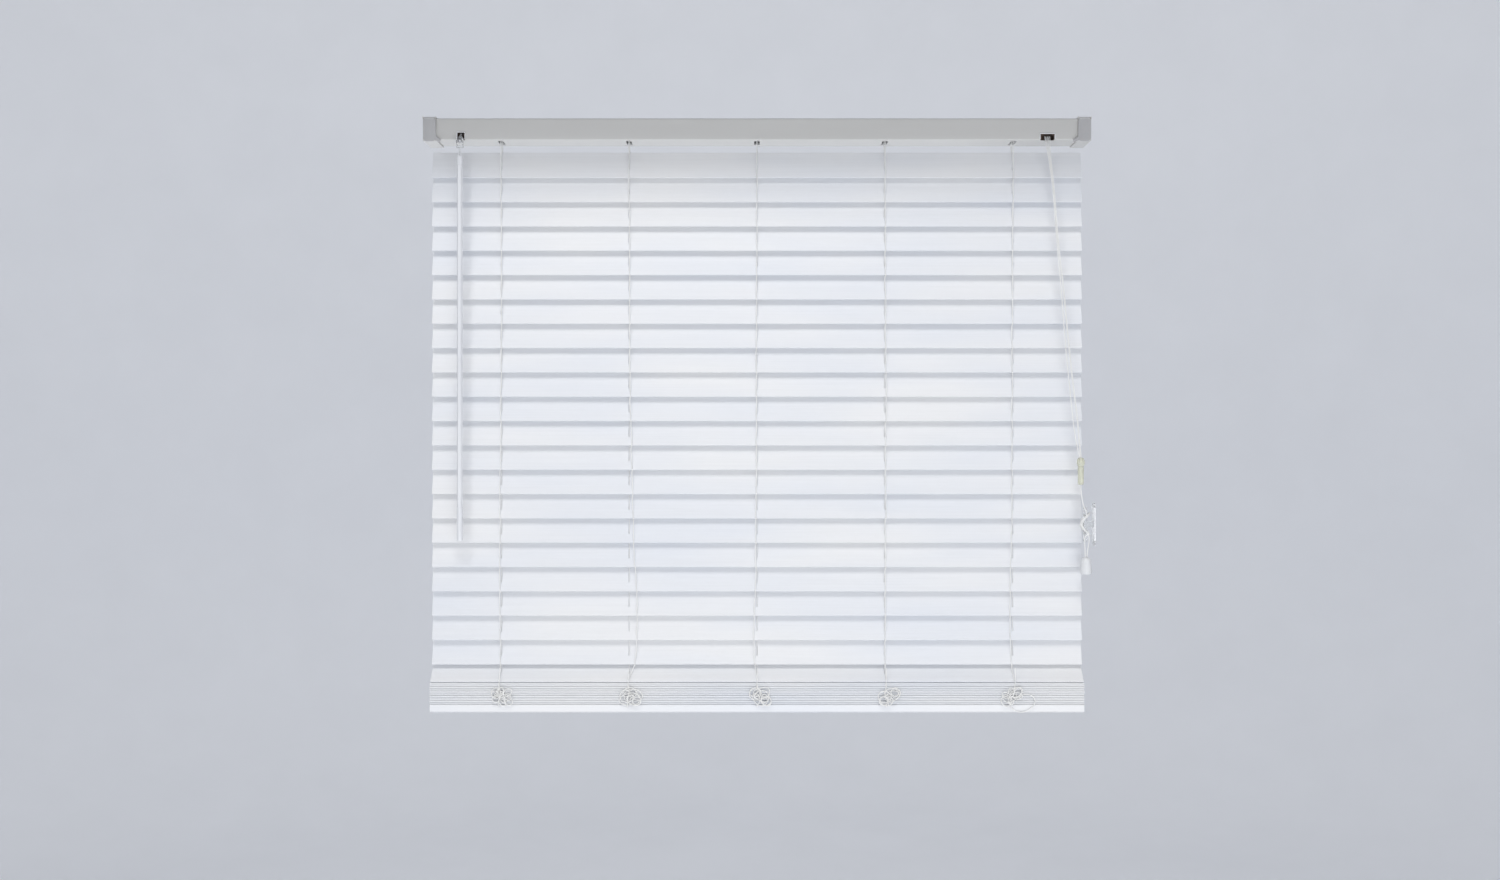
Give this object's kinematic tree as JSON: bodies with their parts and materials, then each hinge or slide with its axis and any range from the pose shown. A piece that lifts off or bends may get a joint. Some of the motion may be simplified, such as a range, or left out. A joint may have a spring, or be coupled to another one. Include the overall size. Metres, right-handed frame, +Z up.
{
  "type": "venetian blind",
  "caption": "Corded venetian blind with wide flat slats on string ladders, a wand tilter, a cord lock with joined pull cords wound on a wall cleat, and box brackets.",
  "frame": {"origin": "centre of the top plane of the two box brackets, where they meet the ceiling of the recess", "axes": "+X to the right as seen from the room, along the headrail; +Y towards the window; +Z up"},
  "size_m": [1.2045, 0.0813, 1.075],
  "materials": {
    "faux_wood": "satin embossed white",
    "painted_steel": "satin off-white enamel",
    "white_plastic": "moulded white",
    "zinc_steel": "zinc plated",
    "clear_plastic": "clear moulded",
    "tinted_plastic": "translucent pale yellow-green",
    "dark_housing": "black moulded housing, brown where it is rubbed",
    "brass": "knurled",
    "braided_cord": "braided polyester"
  },
  "bodies": {
    "root": {"headrail": "painted_steel", "box_brackets": "painted_steel", "wand_tilter": "dark_housing", "ladder_cradles": "white_plastic", "cord_lock": "dark_housing", "cord_cleat": "clear_plastic", "lift_cord_01": "braided_cord", "pull_cords": "braided_cord", "cord_joiner": "tinted_plastic", "tail_cord": "braided_cord", "cleat_winding": "braided_cord", "cord_tassel": "white_plastic"},
    "gate_left": {"gate_left": "white_plastic"},
    "gate_right": {"gate_right": "white_plastic"},
    "tilt_rod": {"tilt_rod": "zinc_steel", "tilt_drums": "white_plastic"},
    "tilter_stem": {"tilter_stem": "zinc_steel"},
    "wand_hook": {"wand_hook": "clear_plastic"},
    "tilt_wand": {"tilt_wand": "white_plastic"},
    "lock_roller": {"lock_roller": "brass"},
    "bottom_rail": {"bottom_rail": "faux_wood", "stacked_slats": "faux_wood", "lift_cord_21": "braided_cord", "ladder_slack": "braided_cord"},
    "ladder_front": {"ladder_front": "braided_cord"},
    "ladder_back": {"ladder_back": "braided_cord"},
    "slat_01": {"slat_01": "faux_wood"},
    "slat_02": {"slat_02": "faux_wood"},
    "slat_03": {"slat_03": "faux_wood"},
    "slat_04": {"slat_04": "faux_wood"},
    "slat_05": {"slat_05": "faux_wood"},
    "slat_06": {"slat_06": "faux_wood"},
    "slat_07": {"slat_07": "faux_wood"},
    "slat_08": {"slat_08": "faux_wood"},
    "slat_09": {"slat_09": "faux_wood"},
    "slat_10": {"slat_10": "faux_wood"},
    "slat_11": {"slat_11": "faux_wood"},
    "slat_12": {"slat_12": "faux_wood"},
    "slat_13": {"slat_13": "faux_wood"},
    "slat_14": {"slat_14": "faux_wood"},
    "slat_15": {"slat_15": "faux_wood"},
    "slat_16": {"slat_16": "faux_wood"},
    "slat_17": {"slat_17": "faux_wood"},
    "slat_18": {"slat_18": "faux_wood"},
    "slat_19": {"slat_19": "faux_wood"},
    "slat_20": {"slat_20": "faux_wood"},
    "slat_21": {"slat_21": "faux_wood"},
    "slat_22": {"slat_22": "faux_wood"},
    "lift_cord_09": {"lift_cord_09": "braided_cord"},
    "lift_cord_10": {"lift_cord_10": "braided_cord"},
    "lift_cord_11": {"lift_cord_11": "braided_cord"},
    "lift_cord_12": {"lift_cord_12": "braided_cord"},
    "lift_cord_13": {"lift_cord_13": "braided_cord"},
    "lift_cord_14": {"lift_cord_14": "braided_cord"},
    "lift_cord_15": {"lift_cord_15": "braided_cord"},
    "lift_cord_16": {"lift_cord_16": "braided_cord"},
    "lift_cord_17": {"lift_cord_17": "braided_cord"},
    "lift_cord_18": {"lift_cord_18": "braided_cord"},
    "lift_cord_19": {"lift_cord_19": "braided_cord"},
    "lift_cord_20": {"lift_cord_20": "braided_cord"}
  },
  "joints": [
    {"name": "slat_tilt", "type": "hinge", "parent": "root", "child": "slat_01", "pos_m": [0, 0, -0.081], "axis": [-1, 0, 0], "range_deg": [0, 150]},
    {"name": "blind_lift", "type": "slide", "parent": "root", "child": "bottom_rail", "axis": [0, 0, 1], "range_m": [0, 0.4095], "deforming": ["ladder_front", "ladder_back", "lift_cord_01", "lift_cord_21"]},
    {"name": "slat_02_tilt", "type": "hinge", "parent": "root", "child": "slat_02", "pos_m": [0, 0, -0.1251], "axis": [-1, 0, 0], "range_deg": [0, 150]},
    {"name": "slat_03_tilt", "type": "hinge", "parent": "root", "child": "slat_03", "pos_m": [0, 0, -0.1692], "axis": [-1, 0, 0], "range_deg": [0, 150]},
    {"name": "slat_04_tilt", "type": "hinge", "parent": "root", "child": "slat_04", "pos_m": [0, 0, -0.2133], "axis": [-1, 0, 0], "range_deg": [0, 150]},
    {"name": "slat_05_tilt", "type": "hinge", "parent": "root", "child": "slat_05", "pos_m": [0, 0, -0.2574], "axis": [-1, 0, 0], "range_deg": [0, 150]},
    {"name": "slat_06_tilt", "type": "hinge", "parent": "root", "child": "slat_06", "pos_m": [0, 0, -0.3015], "axis": [-1, 0, 0], "range_deg": [0, 150]},
    {"name": "slat_07_tilt", "type": "hinge", "parent": "root", "child": "slat_07", "pos_m": [0, 0, -0.3456], "axis": [-1, 0, 0], "range_deg": [0, 150]},
    {"name": "slat_08_tilt", "type": "hinge", "parent": "root", "child": "slat_08", "pos_m": [0, 0, -0.3897], "axis": [-1, 0, 0], "range_deg": [0, 150]},
    {"name": "slat_09_tilt", "type": "hinge", "parent": "lift_cord_09", "child": "slat_09", "pos_m": [0, 0, -0.4338], "axis": [-1, 0, 0], "range_deg": [0, 150]},
    {"name": "slat_10_tilt", "type": "hinge", "parent": "lift_cord_10", "child": "slat_10", "pos_m": [0, 0, -0.4779], "axis": [-1, 0, 0], "range_deg": [0, 150]},
    {"name": "slat_11_tilt", "type": "hinge", "parent": "lift_cord_11", "child": "slat_11", "pos_m": [0, 0, -0.522], "axis": [-1, 0, 0], "range_deg": [0, 150]},
    {"name": "slat_12_tilt", "type": "hinge", "parent": "lift_cord_12", "child": "slat_12", "pos_m": [0, 0, -0.5661], "axis": [-1, 0, 0], "range_deg": [0, 150]},
    {"name": "slat_13_tilt", "type": "hinge", "parent": "lift_cord_13", "child": "slat_13", "pos_m": [0, 0, -0.6102], "axis": [-1, 0, 0], "range_deg": [0, 150]},
    {"name": "slat_14_tilt", "type": "hinge", "parent": "lift_cord_14", "child": "slat_14", "pos_m": [0, 0, -0.6543], "axis": [-1, 0, 0], "range_deg": [0, 150]},
    {"name": "slat_15_tilt", "type": "hinge", "parent": "lift_cord_15", "child": "slat_15", "pos_m": [0, 0, -0.6984], "axis": [-1, 0, 0], "range_deg": [0, 150]},
    {"name": "slat_16_tilt", "type": "hinge", "parent": "lift_cord_16", "child": "slat_16", "pos_m": [0, 0, -0.7425], "axis": [-1, 0, 0], "range_deg": [0, 150]},
    {"name": "slat_17_tilt", "type": "hinge", "parent": "lift_cord_17", "child": "slat_17", "pos_m": [0, 0, -0.7866], "axis": [-1, 0, 0], "range_deg": [0, 150]},
    {"name": "slat_18_tilt", "type": "hinge", "parent": "lift_cord_18", "child": "slat_18", "pos_m": [0, 0, -0.8307], "axis": [-1, 0, 0], "range_deg": [0, 150]},
    {"name": "slat_19_tilt", "type": "hinge", "parent": "lift_cord_19", "child": "slat_19", "pos_m": [0, 0, -0.8748], "axis": [-1, 0, 0], "range_deg": [0, 150]},
    {"name": "slat_20_tilt", "type": "hinge", "parent": "lift_cord_20", "child": "slat_20", "pos_m": [0, 0, -0.9189], "axis": [-1, 0, 0], "range_deg": [0, 150]},
    {"name": "slat_21_tilt", "type": "hinge", "parent": "bottom_rail", "child": "slat_21", "pos_m": [0, 0, -0.963], "axis": [-1, 0, 0], "range_deg": [0, 150]},
    {"name": "slat_22_tilt", "type": "hinge", "parent": "bottom_rail", "child": "slat_22", "pos_m": [0, -0.02, -1.0163], "axis": [-1, 0, 0], "range_deg": [0, 46]},
    {"name": "ladder_front_carry", "type": "hinge", "parent": "slat_01", "child": "ladder_front", "pos_m": [0, -0.00678, -0.10631], "axis": [-1, 0, 0], "range_deg": [-150, 0]},
    {"name": "ladder_back_carry", "type": "hinge", "parent": "slat_01", "child": "ladder_back", "pos_m": [0, 0.00678, -0.05569], "axis": [-1, 0, 0], "range_deg": [-150, 0]},
    {"name": "tilt_rod_turn", "type": "hinge", "parent": "root", "child": "tilt_rod", "pos_m": [0, 0, -0.02], "axis": [-1, 0, 0], "range_deg": [0, 150]},
    {"name": "tilter_stem_spin", "type": "hinge", "parent": "root", "child": "tilter_stem", "pos_m": [-0.532, -0.038, -0.044], "axis": [0, -0.7071, -0.7071], "range_deg": [0, 1800]},
    {"name": "wand_swing", "type": "hinge", "parent": "root", "child": "wand_hook", "pos_m": [-0.532, -0.038, -0.044], "axis": [-1, 0, 0], "range_deg": [0, 60]},
    {"name": "wand_spin", "type": "hinge", "parent": "wand_hook", "child": "tilt_wand", "pos_m": [-0.532, -0.038, -0.072], "axis": [0, 0, -1], "range_deg": [0, 1800]},
    {"name": "gate_left_swing", "type": "hinge", "parent": "root", "child": "gate_left", "pos_m": [-0.588, -0.032, -0.0018], "axis": [-1, 0, 0], "range_deg": [0, 85]},
    {"name": "gate_right_swing", "type": "hinge", "parent": "root", "child": "gate_right", "pos_m": [0.588, -0.032, -0.0018], "axis": [-1, 0, 0], "range_deg": [0, 85]},
    {"name": "lift_09", "type": "slide", "parent": "root", "child": "lift_cord_09", "axis": [0, 0, 1], "range_m": [0, 0.0317], "deforming": ["lift_cord_09"]},
    {"name": "lift_10", "type": "slide", "parent": "root", "child": "lift_cord_10", "axis": [0, 0, 1], "range_m": [0, 0.0632], "deforming": ["lift_cord_10"]},
    {"name": "lift_11", "type": "slide", "parent": "root", "child": "lift_cord_11", "axis": [0, 0, 1], "range_m": [0, 0.0947], "deforming": ["lift_cord_11"]},
    {"name": "lift_12", "type": "slide", "parent": "root", "child": "lift_cord_12", "axis": [0, 0, 1], "range_m": [0, 0.1262], "deforming": ["lift_cord_12"]},
    {"name": "lift_13", "type": "slide", "parent": "root", "child": "lift_cord_13", "axis": [0, 0, 1], "range_m": [0, 0.1577], "deforming": ["lift_cord_13"]},
    {"name": "lift_14", "type": "slide", "parent": "root", "child": "lift_cord_14", "axis": [0, 0, 1], "range_m": [0, 0.1892], "deforming": ["lift_cord_14"]},
    {"name": "lift_15", "type": "slide", "parent": "root", "child": "lift_cord_15", "axis": [0, 0, 1], "range_m": [0, 0.2207], "deforming": ["lift_cord_15"]},
    {"name": "lift_16", "type": "slide", "parent": "root", "child": "lift_cord_16", "axis": [0, 0, 1], "range_m": [0, 0.2522], "deforming": ["lift_cord_16"]},
    {"name": "lift_17", "type": "slide", "parent": "root", "child": "lift_cord_17", "axis": [0, 0, 1], "range_m": [0, 0.2837], "deforming": ["lift_cord_17"]},
    {"name": "lift_18", "type": "slide", "parent": "root", "child": "lift_cord_18", "axis": [0, 0, 1], "range_m": [0, 0.3152], "deforming": ["lift_cord_18"]},
    {"name": "lift_19", "type": "slide", "parent": "root", "child": "lift_cord_19", "axis": [0, 0, 1], "range_m": [0, 0.3467], "deforming": ["lift_cord_19"]},
    {"name": "lift_20", "type": "slide", "parent": "root", "child": "lift_cord_20", "axis": [0, 0, 1], "range_m": [0, 0.3782], "deforming": ["lift_cord_20"]},
    {"name": "lock_roller_spin", "type": "hinge", "parent": "root", "child": "lock_roller", "pos_m": [0.5148, -0.0195, -0.027], "axis": [0, 1, 0], "range_deg": [-6800, 0]}
  ],
  "couplings": [
    {"joint": "slat_02_tilt", "follows": "slat_tilt", "ratio": 1},
    {"joint": "slat_03_tilt", "follows": "slat_tilt", "ratio": 1},
    {"joint": "slat_04_tilt", "follows": "slat_tilt", "ratio": 1},
    {"joint": "slat_05_tilt", "follows": "slat_tilt", "ratio": 1},
    {"joint": "slat_06_tilt", "follows": "slat_tilt", "ratio": 1},
    {"joint": "slat_07_tilt", "follows": "slat_tilt", "ratio": 1},
    {"joint": "slat_08_tilt", "follows": "slat_tilt", "ratio": 1},
    {"joint": "slat_09_tilt", "follows": "slat_tilt", "ratio": 1},
    {"joint": "slat_10_tilt", "follows": "slat_tilt", "ratio": 1},
    {"joint": "slat_11_tilt", "follows": "slat_tilt", "ratio": 1},
    {"joint": "slat_12_tilt", "follows": "slat_tilt", "ratio": 1},
    {"joint": "slat_13_tilt", "follows": "slat_tilt", "ratio": 1},
    {"joint": "slat_14_tilt", "follows": "slat_tilt", "ratio": 1},
    {"joint": "slat_15_tilt", "follows": "slat_tilt", "ratio": 1},
    {"joint": "slat_16_tilt", "follows": "slat_tilt", "ratio": 1},
    {"joint": "slat_17_tilt", "follows": "slat_tilt", "ratio": 1},
    {"joint": "slat_18_tilt", "follows": "slat_tilt", "ratio": 1},
    {"joint": "slat_19_tilt", "follows": "slat_tilt", "ratio": 1},
    {"joint": "slat_20_tilt", "follows": "slat_tilt", "ratio": 1},
    {"joint": "slat_21_tilt", "follows": "slat_tilt", "ratio": 1},
    {"joint": "slat_22_tilt", "follows": "slat_tilt", "ratio": 0.30667},
    {"joint": "ladder_front_carry", "follows": "slat_tilt", "ratio": -1},
    {"joint": "ladder_back_carry", "follows": "slat_tilt", "ratio": -1},
    {"joint": "tilt_rod_turn", "follows": "slat_tilt", "ratio": 1},
    {"joint": "tilter_stem_spin", "follows": "slat_tilt", "ratio": 12},
    {"joint": "wand_spin", "follows": "slat_tilt", "ratio": 12},
    {"joint": "lift_09", "follows": "blind_lift", "ratio": 0.076923},
    {"joint": "lift_10", "follows": "blind_lift", "ratio": 0.15385},
    {"joint": "lift_11", "follows": "blind_lift", "ratio": 0.23077},
    {"joint": "lift_12", "follows": "blind_lift", "ratio": 0.30769},
    {"joint": "lift_13", "follows": "blind_lift", "ratio": 0.38461},
    {"joint": "lift_14", "follows": "blind_lift", "ratio": 0.46154},
    {"joint": "lift_15", "follows": "blind_lift", "ratio": 0.53846},
    {"joint": "lift_16", "follows": "blind_lift", "ratio": 0.61538},
    {"joint": "lift_17", "follows": "blind_lift", "ratio": 0.69231},
    {"joint": "lift_18", "follows": "blind_lift", "ratio": 0.76923},
    {"joint": "lift_19", "follows": "blind_lift", "ratio": 0.84615},
    {"joint": "lift_20", "follows": "blind_lift", "ratio": 0.92308},
    {"joint": "lock_roller_spin", "follows": "blind_lift", "rad_per_m": -285.71}
  ]
}
